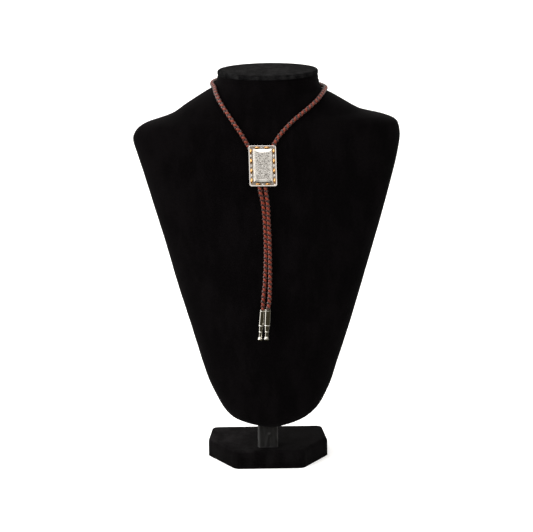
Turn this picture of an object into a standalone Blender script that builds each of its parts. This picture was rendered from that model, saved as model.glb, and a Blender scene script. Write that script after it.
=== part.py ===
"""Bolo tie with a silver and gold slide on a velvet neck bust, in metres, +Z up, front at -Y.

The origin is the middle of the underside of the base board.
"""

from collections import namedtuple
from itertools import product
from math import cos, pi, radians, sin

import bmesh
import bpy
from mathutils import Matrix, Vector

# Gap left between pieces that touch
GAP = 0.0003

# Points this close become one, and edges that turn more than these angles stay sharp or are rounded
MERGE_DISTANCE = 0.00001
SHARP_ANGLE = radians(35)
ROUNDED_ANGLE = radians(60)

# Base board: a rectangle whose two front corners are cut off
BASE_WIDTH = 0.134
BASE_BACK_WIDTH = 0.124
BASE_FRONT_WIDTH = 0.073
BASE_DEPTH = 0.108
BASE_CUT_DEPTH = 0.058
BASE_THICKNESS = 0.0195
BASE_CORNER_RADIUS = 0.007
BASE_EDGE_RADIUS = 0.0025

# Post between the board and the bust
POST_WIDTH = 0.0225
POST_DEPTH = 0.020
POST_CORNER_RADIUS = 0.004
POST_PLACE_Y = -0.030

# Bust: heights are from the floor, reaches are from the middle of the base
BUST_BOTTOM = 0.046
BUST_TOP = 0.4357
BUST_HALF_WIDTH = 0.148
BUST_SHIFT_X = 0.0045
CHEST_DEPTH = 0.079
BACK_DEPTH = 0.054
BUST_RING_SIDES = 48
LEVEL_COUNT_PER_ROW = 2

# Round board on top of the neck
CAP_RADIUS = 0.0552
CAP_THICKNESS = 0.004
CAP_EDGE_RADIUS = 0.0014
CAP_SHIFT_X = 0.0013

# One row for each level of the bust. Height runs from the bottom (0) to the top (1), left and
# right are shares of the half width, front of the chest's depth and back of the back's depth,
# and square is the corner exponent of the section's back half (2 is an ellipse).
Level = namedtuple("Level", "height left right front back square")
BUST_LEVELS = (
    Level(0.000, 0.090, 0.090, 0.595, -0.315, 2.2),
    Level(0.008, 0.185, 0.165, 0.665, -0.230, 2.2),
    Level(0.022, 0.275, 0.250, 0.735, -0.150, 2.3),
    Level(0.042, 0.335, 0.318, 0.795, -0.070, 2.4),
    Level(0.071, 0.385, 0.378, 0.845, 0.000, 2.5),
    Level(0.128, 0.457, 0.450, 0.900, 0.095, 2.6),
    Level(0.186, 0.509, 0.500, 0.940, 0.170, 2.7),
    Level(0.300, 0.596, 0.599, 0.990, 0.280, 2.8),
    Level(0.416, 0.686, 0.692, 1.000, 0.370, 2.9),
    Level(0.530, 0.768, 0.782, 0.990, 0.445, 3.0),
    Level(0.644, 0.856, 0.870, 0.955, 0.520, 3.0),
    Level(0.729, 0.923, 0.932, 0.910, 0.575, 3.0),
    Level(0.786, 0.970, 0.967, 0.870, 0.620, 3.0),
    Level(0.821, 0.997, 0.983, 0.843, 0.650, 2.9),
    Level(0.841, 0.990, 0.983, 0.828, 0.675, 2.8),
    Level(0.858, 0.955, 0.975, 0.812, 0.700, 2.7),
    Level(0.871, 0.890, 0.952, 0.800, 0.722, 2.6),
    Level(0.884, 0.778, 0.862, 0.786, 0.748, 2.5),
    Level(0.897, 0.695, 0.712, 0.772, 0.777, 2.4),
    Level(0.918, 0.614, 0.604, 0.752, 0.825, 2.3),
    Level(0.942, 0.510, 0.494, 0.728, 0.885, 2.2),
    Level(0.955, 0.452, 0.423, 0.717, 0.919, 2.15),
    Level(0.965, 0.408, 0.397, 0.708, 0.945, 2.1),
    Level(0.984, 0.374, 0.388, 0.696, 0.975, 2.0),
    Level(1.000, 0.362, 0.380, 0.690, 0.985, 2.0),
)

# Slide of the tie, sizes as seen from the front
SLIDE_WIDTH = 0.0302
SLIDE_HEIGHT = 0.0445
SLIDE_THICKNESS = 0.0014
SLIDE_CORNER_RADIUS = 0.0022
SLIDE_CENTRE_X = -0.0017
SLIDE_CENTRE_Z = 0.3463
SLIDE_LEAN = radians(17)
SLIDE_FACING = radians(12)
SLIDE_TURN = radians(-2.6)
SLIDE_STAND_OFF = 0.0111
RIM_WIDTH = 0.0008
RIM_HEIGHT = 0.0016

# Twisted border of the slide: gold links with silver links between them
LINK_PITCH = 0.0107
LINK_LENGTH = 0.0054
LINK_CLEARANCE = 0.00045
LINK_WIDTH = 0.0024
END_LINK_WIDTH = 0.0017
LINK_HEIGHT = 0.0016
LINK_LEAN = radians(8)
END_LINK_LEAN = radians(3)
LINK_SINK = 0.0002
ROPE_CLEARANCE = 0.0005
END_ROPE_CLEARANCE = 0.0004
ROPE_LIFT = 0.0001
CORNER_LINK_LENGTH = 0.0030
CORNER_LINK_INSET = 0.0020
CORNER_LINK_WIDTH = 0.0018

# Raised panel in the middle of the slide, with a scalloped bevel
PANEL_CLEARANCE = 0.0009
END_PANEL_CLEARANCE = 0.0008
PANEL_LIFT = 0.0003
PANEL_HEIGHT = 0.0021
PANEL_BEVEL = 0.0022
PANEL_BEVEL_DROP = 0.0009
SCALLOP_DEPTH = 0.00035
SCALLOP_LENGTH = 0.0052
PANEL_OUTLINE_POINTS = 72

# Braided cord, and the clip behind the slide that holds its two runs
CORD_DIAMETER = 0.0044
CORD_POINTS = 98
CLIP_CHANNEL_X = 0.0031
CLIP_CLEARANCE = 0.0004
CLIP_WALL = 0.0009
CLIP_HEIGHT = 0.010
CLIP_CENTRE_Z = -0.014

# Metal tips of the cord, turned, with a bore that the cord goes into
TIP_LENGTH = 0.035
TIP_MOUTH_RADIUS = 0.0034
TIP_STEP_RADIUS = 0.0028
TIP_WAIST_RADIUS = 0.0022
TIP_BUTTON_RADIUS = 0.0030
TIP_BUTTON_LENGTH = 0.0042
TIP_LIP = 0.0004
TIP_BORE_DEPTH = 0.008
TIP_SIDES = 20

# Shares of the tip: where its step is along it, its taper above that, and the flat of its foot
TIP_STEP_SHARE = 0.52
TIP_TAPER_SHARE = 0.96
TIP_FOOT_SHARE = 0.6

# The cord's route in millimetres, from its left end up through the slide, round the neck and back
CORD_ROUTE_MM = (
    (-4.0, -82.3, 180.9),
    (-3.2, -82.3, 188.6),
    (-3.1, -82.8, 194.5),
    (-1.1, -82.6, 214.5),
    (0.5, -82.2, 241.1),
    (0.7, -82.6, 267.7),
    (0.0, -83.8, 287.9),
    (-1.5, -85.0, 305.7),
    (-4.9, -85.3, 325.1),
    (-5.0, -83.0, 332.3),
    (-5.1, -80.8, 339.5),
    (-9.2, -76.9, 351.3),
    (-17.5, -68.1, 368.3),
    (-20.3, -67.3, 373.2),
    (-25.6, -65.5, 381.7),
    (-31.4, -62.5, 390.1),
    (-37.1, -58.5, 398.4),
    (-42.8, -53.5, 406.5),
    (-47.9, -45.8, 414.3),
    (-51.2, -35.2, 420.5),
    (-52.7, -22.7, 424.7),
    (-55.3, -10.4, 426.3),
    (-54.8, 6.7, 426.8),
    (-49.1, 23.7, 427.1),
    (-36.3, 40.1, 427.0),
    (-15.4, 51.6, 426.4),
    (7.7, 54.4, 425.3),
    (30.3, 49.5, 423.9),
    (50.0, 36.5, 422.3),
    (62.8, 20.1, 420.9),
    (69.0, 3.7, 419.9),
    (67.4, -18.9, 419.6),
    (63.7, -35.2, 416.6),
    (59.1, -45.0, 412.6),
    (52.1, -52.6, 407.2),
    (44.1, -57.9, 401.5),
    (33.5, -62.4, 393.5),
    (24.6, -65.3, 385.3),
    (17.2, -67.2, 377.0),
    (11.3, -68.8, 368.0),
    (2.6, -74.8, 350.8),
    (0.9, -79.6, 339.2),
    (1.0, -81.8, 332.0),
    (1.2, -84.0, 324.9),
    (3.5, -85.6, 305.7),
    (4.2, -85.2, 288.1),
    (4.9, -84.2, 268.0),
    (5.1, -83.8, 241.3),
    (4.7, -85.0, 214.9),
    (3.4, -86.8, 195.3),
    (2.4, -87.2, 190.0),
    (1.9, -87.2, 182.3),
)


def clear_scene():
    for item in list(bpy.data.objects):
        bpy.data.objects.remove(item, do_unlink=True)


def new_collection(name):
    collection = bpy.data.collections.new(name)
    bpy.context.scene.collection.children.link(collection)
    return collection


def finish_material(name, colour, roughness, metallic):
    """A Principled material of one colour."""
    material = bpy.data.materials.new(name)
    material.use_nodes = True
    shader = material.node_tree.nodes["Principled BSDF"]
    shader.inputs["Base Color"].default_value = (*colour, 1.0)
    shader.inputs["Roughness"].default_value = roughness
    shader.inputs["Metallic"].default_value = metallic
    return material


def add_object(name, data, material, collection, matrix=None):
    """Link mesh or curve data as a named object in its place."""
    item = bpy.data.objects.new(name, data)
    data.materials.append(material)
    collection.objects.link(item)
    if matrix is not None:
        item.matrix_world = matrix
    return item


def mesh_from(name, build):
    """A mesh filled by a function that takes a bmesh."""
    mesh = bpy.data.meshes.new(name)
    shape = bmesh.new()
    build(shape)
    bmesh.ops.recalc_face_normals(shape, faces=shape.faces)
    shape.to_mesh(mesh)
    shape.free()
    mesh.shade_smooth()
    mesh.set_sharp_from_angle(angle=SHARP_ANGLE)
    return mesh


def loft(shape, rings):
    """Skin rings of as many points each, and close both ends."""
    rows = [[shape.verts.new(point) for point in ring] for ring in rings]
    for lower, upper in zip(rows, rows[1:]):
        for here, there in zip(range(len(lower)), [*range(1, len(lower)), 0]):
            shape.faces.new((lower[here], lower[there], upper[there], upper[here]))
    shape.faces.new(reversed(rows[0]))
    shape.faces.new(rows[-1])


def rounded_outline(corners, radius, steps=4):
    """Points of a convex outline with its corners rounded off."""
    outline = []
    for index, corner in enumerate(corners):
        corner = Vector(corner)
        before = (Vector(corners[index - 1]) - corner).normalized()
        after = (Vector(corners[(index + 1) % len(corners)]) - corner).normalized()
        half_angle = before.angle(after) / 2
        centre = corner + (before + after).normalized() * radius / sin(half_angle)
        reach = radius * cos(half_angle) / sin(half_angle)
        start = (corner + before * reach - centre).normalized()
        end = (corner + after * reach - centre).normalized()
        for step in range(steps + 1):
            outline.append(centre + start.slerp(end, step / steps) * radius)
    return outline


def rectangle(width, depth):
    """Corners of a rectangle, anticlockwise."""
    x, y = width / 2, depth / 2
    return ((-x, -y), (x, -y), (x, y), (-x, y))


def plate_curve(name, outline, thickness):
    """A flat outline as thick as asked, about its own plane."""
    curve = bpy.data.curves.new(name, "CURVE")
    curve.dimensions = "2D"
    curve.fill_mode = "BOTH"
    curve.extrude = thickness / 2
    spline = curve.splines.new("POLY")
    spline.points.add(len(outline) - 1)
    for point, (x, y) in zip(spline.points, outline):
        point.co = (x, y, 0.0, 1.0)
    spline.use_cyclic_u = True
    return curve


def turned_mesh(name, profile):
    """A profile of radius and height, given from the top of the axis to its foot."""
    mesh = bpy.data.meshes.new(name)
    edges = [(index, index + 1) for index in range(len(profile) - 1)]
    mesh.from_pydata([(radius, 0.0, height) for radius, height in profile], edges, [])
    return mesh


def turn(item, sides):
    """Turn a profile round its own Z axis."""
    screw = item.modifiers.new("turn", "SCREW")
    screw.steps = sides
    screw.render_steps = sides
    screw.use_merge_vertices = True
    screw.merge_threshold = MERGE_DISTANCE
    screw.use_smooth_shade = True


def quarter_round(radius, height, edge, steps=3):
    """Points of an edge rounded from a flat top out to a side, from the top down."""
    angles = [pi / 2 * step / steps for step in range(steps + 1)]
    return [(radius - edge + edge * sin(angle), height - edge + edge * cos(angle)) for angle in angles]


def slopes(points):
    """Slope of a smooth curve at each of its points, by distance along it."""
    result = []
    for index, point in enumerate(points):
        before = points[max(index - 1, 0)]
        after = points[min(index + 1, len(points) - 1)]
        back, ahead = (point - before).length, (after - point).length
        if back == 0.0:
            result.append((after - point) / ahead)
        elif ahead == 0.0:
            result.append((point - before) / back)
        else:
            blended = (point - before) / back * ahead + (after - point) / ahead * back
            result.append(blended / (back + ahead))
    return result


def smooth_route(points, steps=8):
    """Points of one smooth curve through the given ones."""
    route = []
    tangents = slopes(points)
    for index in range(len(points) - 1):
        start, end = points[index], points[index + 1]
        length = (end - start).length
        for step in range(steps):
            t = step / steps
            route.append(
                start * (2 * t**3 - 3 * t**2 + 1)
                + end * (3 * t**2 - 2 * t**3)
                + tangents[index] * length * (t**3 - 2 * t**2 + t)
                + tangents[index + 1] * length * (t**3 - t**2)
            )
    return [*route, points[-1]]


def evenly_spaced(route, count):
    """As many points as asked, the same distance apart along a route."""
    travelled = [0.0]
    for before, after in zip(route, route[1:]):
        travelled.append(travelled[-1] + (after - before).length)
    spaced, index = [], 0
    for number in range(count):
        distance = travelled[-1] * number / (count - 1)
        while index < len(route) - 2 and travelled[index + 1] < distance:
            index += 1
        share = (distance - travelled[index]) / (travelled[index + 1] - travelled[index])
        spaced.append(route[index].lerp(route[index + 1], share))
    return spaced


def between_levels(position):
    """The bust's level at a place in the table, read from a smooth curve through the rows."""
    index = min(int(position), len(BUST_LEVELS) - 2)
    t = position - index
    rows = [BUST_LEVELS[min(max(index + step, 0), len(BUST_LEVELS) - 1)] for step in (-1, 0, 1, 2)]
    weights = (
        (-t + 2 * t**2 - t**3) / 2,
        (2 - 5 * t**2 + 3 * t**3) / 2,
        (t + 4 * t**2 - 3 * t**3) / 2,
        (t**3 - t**2) / 2,
    )
    return Level(*(sum(w * value for w, value in zip(weights, column)) for column in zip(*rows)))


def bust_levels():
    count = (len(BUST_LEVELS) - 1) * LEVEL_COUNT_PER_ROW
    return [between_levels(step / LEVEL_COUNT_PER_ROW) for step in range(count + 1)]


def level_height(level):
    return BUST_BOTTOM + level.height * (BUST_TOP - BUST_BOTTOM)


def bust_ring(level):
    """Outline of the bust at one level: an ellipse in front, a squarer one behind."""
    front, back = -level.front * CHEST_DEPTH, level.back * BACK_DEPTH
    middle, half_depth = (front + back) / 2, (back - front) / 2
    ring = []
    for side in range(BUST_RING_SIDES):
        angle = 2 * pi * side / BUST_RING_SIDES
        across, deep = cos(angle), sin(angle)
        power = 2 / level.square if deep > 0 else 1.0
        half_width = (level.right if across > 0 else level.left) * BUST_HALF_WIDTH
        x = BUST_SHIFT_X + half_width * abs(across) ** power * (1 if across > 0 else -1)
        y = middle + half_depth * abs(deep) ** power * (1 if deep > 0 else -1)
        ring.append((x, y, level_height(level)))
    return ring


def chest_front(height):
    """How far forward the middle of the chest stands at a height."""
    levels = bust_levels()
    for lower, upper in zip(levels, levels[1:]):
        bottom, top = level_height(lower), level_height(upper)
        if bottom <= height <= top:
            share = (height - bottom) / (top - bottom)
            return -CHEST_DEPTH * (lower.front + share * (upper.front - lower.front))
    return -CHEST_DEPTH * levels[-1].front


def clip_depth():
    """From the slide's back to the far side of the clip."""
    return CORD_DIAMETER + 2 * CLIP_CLEARANCE + CLIP_WALL


def slide_matrix():
    """Place of the slide's back face, in front of the chest and leaning back on the cord's runs."""
    place = Vector((SLIDE_CENTRE_X, chest_front(SLIDE_CENTRE_Z) - SLIDE_STAND_OFF, SLIDE_CENTRE_Z))
    facing = Matrix.Rotation(SLIDE_FACING, 4, "Z") @ Matrix.Rotation(-SLIDE_LEAN, 4, "X")
    return Matrix.Translation(place) @ facing @ Matrix.Rotation(-SLIDE_TURN, 4, "Y")


def base_outline():
    front, back = -BASE_DEPTH / 2, BASE_DEPTH / 2
    cut = front + BASE_CUT_DEPTH
    half = [(BASE_FRONT_WIDTH / 2, front), (BASE_WIDTH / 2, cut), (BASE_BACK_WIDTH / 2, back)]
    corners = half + [(-x, y) for x, y in reversed(half)]
    return rounded_outline(corners, BASE_CORNER_RADIUS)


def make_base_board(collection, material):
    curve = plate_curve("base_board", base_outline(), BASE_THICKNESS)
    board = add_object("base_board", curve, material, collection)
    board.location = (0.0, 0.0, BASE_THICKNESS / 2)
    weld = board.modifiers.new("join the caps", "WELD")
    weld.merge_threshold = MERGE_DISTANCE
    bevel = board.modifiers.new("round the edges", "BEVEL")
    bevel.width = BASE_EDGE_RADIUS
    bevel.segments = 2
    bevel.angle_limit = ROUNDED_ANGLE


def make_post(collection, material):
    outline = rounded_outline(rectangle(POST_WIDTH, POST_DEPTH), POST_CORNER_RADIUS)
    height = BUST_BOTTOM - BASE_THICKNESS - 2 * GAP
    post = add_object("post", plate_curve("post", outline, height), material, collection)
    post.location = (0.0, POST_PLACE_Y, BASE_THICKNESS + GAP + height / 2)


def make_bust_body(collection, material):
    mesh = mesh_from("bust_body", lambda shape: loft(shape, [bust_ring(level) for level in bust_levels()]))
    add_object("bust_body", mesh, material, collection)


def make_neck_cap(collection, material):
    top = bust_levels()[-1]
    centre_y = (top.back * BACK_DEPTH - top.front * CHEST_DEPTH) / 2
    edge = quarter_round(CAP_RADIUS, CAP_THICKNESS, CAP_EDGE_RADIUS)
    foot = [(CAP_RADIUS, CAP_EDGE_RADIUS / 2), (CAP_RADIUS - CAP_EDGE_RADIUS / 2, 0.0), (0.0, 0.0)]
    profile = [(0.0, CAP_THICKNESS), *edge, *foot]
    place = Matrix.Translation((BUST_SHIFT_X + CAP_SHIFT_X, centre_y, BUST_TOP + GAP))
    cap = add_object("neck_cap", turned_mesh("neck_cap", profile), material, collection, place)
    turn(cap, BUST_RING_SIDES)


def cord_route():
    return [Vector(point) / 1000 for point in CORD_ROUTE_MM]


def make_bolo_cord(collection, material):
    curve = bpy.data.curves.new("bolo_cord", "CURVE")
    curve.dimensions = "3D"
    curve.bevel_depth = CORD_DIAMETER / 2
    curve.bevel_resolution = 3
    curve.use_fill_caps = True
    points = evenly_spaced(smooth_route(cord_route()), CORD_POINTS)
    spline = curve.splines.new("POLY")
    spline.points.add(len(points) - 1)
    for point, place in zip(spline.points, points):
        point.co = (*place, 1.0)
    add_object("bolo_cord", curve, material, collection)


def tip_profile():
    """From the floor of the bore out over the lip and down to the button's foot."""
    bore = CORD_DIAMETER / 2 + CLIP_CLEARANCE
    button_top = -(TIP_LENGTH - TIP_BUTTON_LENGTH)
    step = -TIP_LENGTH * TIP_STEP_SHARE
    return [
        (0.0, -TIP_BORE_DEPTH),
        (bore, -TIP_BORE_DEPTH),
        (bore, -TIP_LIP),
        (bore + TIP_LIP / 2, 0.0),
        (TIP_MOUTH_RADIUS - TIP_LIP / 2, 0.0),
        (TIP_MOUTH_RADIUS, -TIP_LIP),
        (TIP_MOUTH_RADIUS * TIP_TAPER_SHARE, step / 2),
        (TIP_STEP_RADIUS + TIP_LIP, step),
        (TIP_STEP_RADIUS, step - TIP_LIP),
        (TIP_WAIST_RADIUS, button_top + TIP_LIP),
        (TIP_WAIST_RADIUS, button_top),
        (TIP_BUTTON_RADIUS - TIP_LIP, button_top - TIP_LIP),
        (TIP_BUTTON_RADIUS, button_top - 3 * TIP_LIP),
        (TIP_BUTTON_RADIUS, -TIP_LENGTH + 3 * TIP_LIP),
        (TIP_BUTTON_RADIUS - TIP_LIP, -TIP_LENGTH + TIP_LIP),
        (TIP_BUTTON_RADIUS * TIP_FOOT_SHARE, -TIP_LENGTH),
        (0.0, -TIP_LENGTH),
    ]


def make_tip(name, cord_end, cord_before, collection, material):
    """A tip whose mouth lies one bore's depth back along the cord from the cord's end."""
    direction = (cord_end - cord_before).normalized()
    mouth = cord_end - direction * (TIP_BORE_DEPTH - GAP)
    turned = direction.to_track_quat("-Z", "Y").to_matrix().to_4x4()
    matrix = Matrix.Translation(mouth) @ turned
    turn(add_object(name, turned_mesh(name, tip_profile()), material, collection, matrix), TIP_SIDES)


def slide_ring(inset, depth):
    """The slide's outline drawn in by an inset, at a depth in front of its back face."""
    corners = rectangle(SLIDE_WIDTH - 2 * inset, SLIDE_HEIGHT - 2 * inset)
    outline = rounded_outline(corners, SLIDE_CORNER_RADIUS - inset)
    return [(x, -depth, z) for x, z in outline]


def add_link(shape, x, z, length, width, angle, depth):
    """A domed link, longest along Z before it is turned, with its flat side at a depth."""
    made = bmesh.ops.create_uvsphere(shape, u_segments=10, v_segments=8, radius=1.0)
    verts = made["verts"]
    bmesh.ops.scale(shape, vec=(width / 2, LINK_HEIGHT, length / 2), verts=verts)
    geometry = verts + list({edge for vert in verts for edge in vert.link_edges})
    geometry += list({face for vert in verts for face in vert.link_faces})
    cut = bmesh.ops.bisect_plane(
        shape, geom=geometry, dist=1e-7, plane_co=(0, 0, 0), plane_no=(0, 1, 0), clear_outer=True
    )
    rim = [piece for piece in cut["geom_cut"] if isinstance(piece, bmesh.types.BMEdge)]
    bmesh.ops.edgeloop_fill(shape, edges=rim)
    kept = [piece for piece in cut["geom"] if isinstance(piece, bmesh.types.BMVert)]
    place = Matrix.Translation((x, -depth, z)) @ Matrix.Rotation(angle, 4, "Y")
    bmesh.ops.transform(shape, matrix=place, verts=kept)


def gold_link_count(run):
    """How many gold links fit along a side of the slide, between the links at its corners."""
    corner = CORNER_LINK_INSET + CORNER_LINK_LENGTH / 2 * cos(pi / 4) + GAP
    return int((run - 2 * corner - LINK_LENGTH) / LINK_PITCH) + 1


def row_places(run, fewer):
    """Places of evenly pitched links about the middle, that many fewer than the gold ones."""
    count = gold_link_count(run) - fewer
    return [(index - (count - 1) / 2) * LINK_PITCH for index in range(count)]


def rope_insets():
    """From the slide's edges to the middle of its border, at the sides and at the ends."""
    return RIM_WIDTH + ROPE_CLEARANCE + LINK_WIDTH / 2, RIM_WIDTH + END_ROPE_CLEARANCE + END_LINK_WIDTH / 2


def border_links(fewer):
    """Place, width and angle of each link along the two sides and the two ends of the border."""
    side_inset, end_inset = rope_insets()
    x, z = SLIDE_WIDTH / 2 - side_inset, SLIDE_HEIGHT / 2 - end_inset - ROPE_LIFT
    side_places, end_places = row_places(SLIDE_HEIGHT, fewer), row_places(SLIDE_WIDTH, fewer)
    sides = [(side * x, place, LINK_WIDTH, -LINK_LEAN) for side in (-1, 1) for place in side_places]
    angle = pi / 2 - END_LINK_LEAN
    ends = [(place, end * z + ROPE_LIFT, END_LINK_WIDTH, angle) for end in (-1, 1) for place in end_places]
    return sides + ends


def silver_links(shape):
    """The silver links between the gold ones and at the corners, sunk a little into the plate."""
    depth = SLIDE_THICKNESS - LINK_SINK
    length = LINK_PITCH - LINK_LENGTH - 2 * LINK_CLEARANCE
    for x, z, width, angle in border_links(fewer=1):
        add_link(shape, x, z, length, width, angle, depth)
    x, z = SLIDE_WIDTH / 2 - CORNER_LINK_INSET, SLIDE_HEIGHT / 2 - CORNER_LINK_INSET
    for side, end in product((-1, 1), repeat=2):
        angle = -side * end * pi / 4
        add_link(shape, side * x, end * z, CORNER_LINK_LENGTH, CORNER_LINK_WIDTH, angle, depth)


def make_slide_plate(collection, cutters, material):
    top = SLIDE_THICKNESS + RIM_HEIGHT
    rings = [
        slide_ring(0.0, 0.0),
        slide_ring(0.0, top),
        slide_ring(RIM_WIDTH, top),
        slide_ring(RIM_WIDTH, SLIDE_THICKNESS),
    ]
    mesh = mesh_from("slide_plate", lambda shape: loft(shape, rings))
    plate = add_object("slide_plate", mesh, material, collection, slide_matrix())
    mesh = mesh_from("silver_links", silver_links)
    links = add_object("silver_links", mesh, material, cutters, slide_matrix())
    links.hide_render = True
    links.display_type = "WIRE"
    union = plate.modifiers.new("join the silver links", "BOOLEAN")
    union.operation = "UNION"
    union.object = links


def make_gold_links(collection, material):
    depth = SLIDE_THICKNESS + GAP
    for number, (x, z, width, angle) in enumerate(border_links(fewer=0), start=1):
        name = f"gold_link_{number:02d}"
        mesh = mesh_from(name, lambda shape: add_link(shape, x, z, LINK_LENGTH, width, angle, depth))
        add_object(name, mesh, material, collection, slide_matrix())


def panel_ring(inset, scallop, depth):
    """The panel's outline, drawn in by an inset and waved by scallops along its sides."""
    side_inset, end_inset = rope_insets()
    side_inset += inset + LINK_WIDTH / 2 + PANEL_CLEARANCE
    end_inset += inset + END_LINK_WIDTH / 2 + END_PANEL_CLEARANCE + ROPE_LIFT
    width, height = SLIDE_WIDTH - 2 * side_inset, SLIDE_HEIGHT - 2 * end_inset
    corners = [Vector((*corner, 0.0)) for corner in rectangle(width, height)]
    per_side = PANEL_OUTLINE_POINTS // 4
    ring = []
    for index, corner in enumerate(corners):
        following = corners[(index + 1) % 4]
        along = (following - corner).normalized()
        inward = Vector((-along.y, along.x, 0.0))
        length = (following - corner).length
        waves = max(round(length / SCALLOP_LENGTH), 1)
        for step in range(per_side):
            share = step / per_side
            wave = scallop * (1 - cos(2 * pi * waves * share)) / 2
            point = corner.lerp(following, share) + inward * wave
            ring.append((point.x, -depth, point.y + PANEL_LIFT))
    return ring


def make_centre_panel(collection, material):
    back = SLIDE_THICKNESS + GAP
    rings = [
        panel_ring(0.0, 0.0, back),
        panel_ring(0.0, 0.0, back + PANEL_HEIGHT - PANEL_BEVEL_DROP),
        panel_ring(PANEL_BEVEL, SCALLOP_DEPTH, back + PANEL_HEIGHT),
    ]
    mesh = mesh_from("centre_panel", lambda shape: loft(shape, rings))
    add_object("centre_panel", mesh, material, collection, slide_matrix())


def make_slide_clip(collection, material):
    """A bar with a channel for each run of cord, open towards the slide's back."""
    reach = CORD_DIAMETER / 2 + CLIP_CLEARANCE
    web, channel_end = CLIP_CHANNEL_X - reach, CLIP_CHANNEL_X + reach
    floor, back = CORD_DIAMETER + 2 * CLIP_CLEARANCE, clip_depth()
    half = [(web, GAP), (web, floor), (channel_end, floor), (channel_end, GAP)]
    half += [(channel_end + CLIP_WALL, GAP), (channel_end + CLIP_WALL, back)]
    outline = half + [(-x, y) for x, y in reversed(half)]
    curve = plate_curve("slide_clip", outline, CLIP_HEIGHT)
    matrix = slide_matrix() @ Matrix.Translation((0.0, 0.0, CLIP_CENTRE_Z))
    add_object("slide_clip", curve, material, collection, matrix)


def main():
    clear_scene()
    tie = new_collection("bolo tie on neck bust")
    cutters = new_collection("cutters")

    velvet = finish_material("black_velvet", (0.012, 0.011, 0.012), 0.95, 0.0)
    wrap = finish_material("black_wrap", (0.030, 0.029, 0.030), 0.60, 0.0)
    leather = finish_material("braided_leather", (0.085, 0.032, 0.022), 0.45, 0.0)
    silver = finish_material("silver", (0.80, 0.79, 0.77), 0.22, 1.0)
    engraved = finish_material("engraved_silver", (0.55, 0.52, 0.48), 0.40, 1.0)
    gold = finish_material("gold", (0.90, 0.48, 0.12), 0.25, 1.0)
    chrome = finish_material("chrome", (0.75, 0.74, 0.72), 0.12, 1.0)

    make_base_board(tie, velvet)
    make_post(tie, wrap)
    make_bust_body(tie, velvet)
    make_neck_cap(tie, velvet)
    make_bolo_cord(tie, leather)
    make_slide_plate(tie, cutters, silver)
    make_centre_panel(tie, engraved)
    make_gold_links(tie, gold)
    make_slide_clip(tie, silver)
    route = cord_route()
    make_tip("tip_left", route[0], route[1], tie, chrome)
    make_tip("tip_right", route[-1], route[-2], tie, chrome)


main()
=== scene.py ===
"""The looks of the bolo tie and of its velvet neck bust, in metres, +Z up, front at -Y."""

from collections import namedtuple
from math import asin, atan2, ceil, cos, pi, radians, sin

import bmesh
import bpy
import numpy as np
from mathutils import Matrix, Vector


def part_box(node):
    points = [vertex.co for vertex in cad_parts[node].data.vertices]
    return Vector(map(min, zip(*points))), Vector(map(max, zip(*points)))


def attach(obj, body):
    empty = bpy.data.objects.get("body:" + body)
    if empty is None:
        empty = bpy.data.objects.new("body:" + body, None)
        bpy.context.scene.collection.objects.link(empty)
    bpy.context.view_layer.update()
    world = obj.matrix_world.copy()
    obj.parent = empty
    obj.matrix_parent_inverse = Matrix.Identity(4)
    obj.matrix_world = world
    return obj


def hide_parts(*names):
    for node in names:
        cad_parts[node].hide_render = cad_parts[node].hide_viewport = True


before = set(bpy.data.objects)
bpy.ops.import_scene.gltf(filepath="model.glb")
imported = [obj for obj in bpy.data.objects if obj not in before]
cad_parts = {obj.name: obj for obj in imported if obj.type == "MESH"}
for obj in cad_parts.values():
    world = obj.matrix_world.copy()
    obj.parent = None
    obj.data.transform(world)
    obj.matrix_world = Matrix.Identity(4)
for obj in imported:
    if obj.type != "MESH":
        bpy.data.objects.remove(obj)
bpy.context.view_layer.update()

# Camera: where it stands, how far it looks down and leans, and its lens on a 36 mm wide sensor
CAMERA_PLACE = (0.0013, -3.0035, 0.84)
CAMERA_PITCH = radians(11.67)
CAMERA_ROLL = radians(0.85)
CAMERA_LENS = 185.27

# Cord: four leather strands braided round a core, one turn of a strand for each pitch. The frame's
# tube has the cord's nominal diameter, and the strands stand out a little over it.
BRAID_DIAMETER = 0.0052
BRAID_PITCH = 0.0108
BRAID_STEP = 0.0004
STRAND_WIDTH = 0.0033
STRAND_THICKNESS = 0.0013
STRAND_LIFT = 0.0004
STRAND_RADIUS = BRAID_DIAMETER / 2 - STRAND_LIFT - STRAND_THICKNESS / 2
CORE_RADIUS = 0.0009

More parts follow.
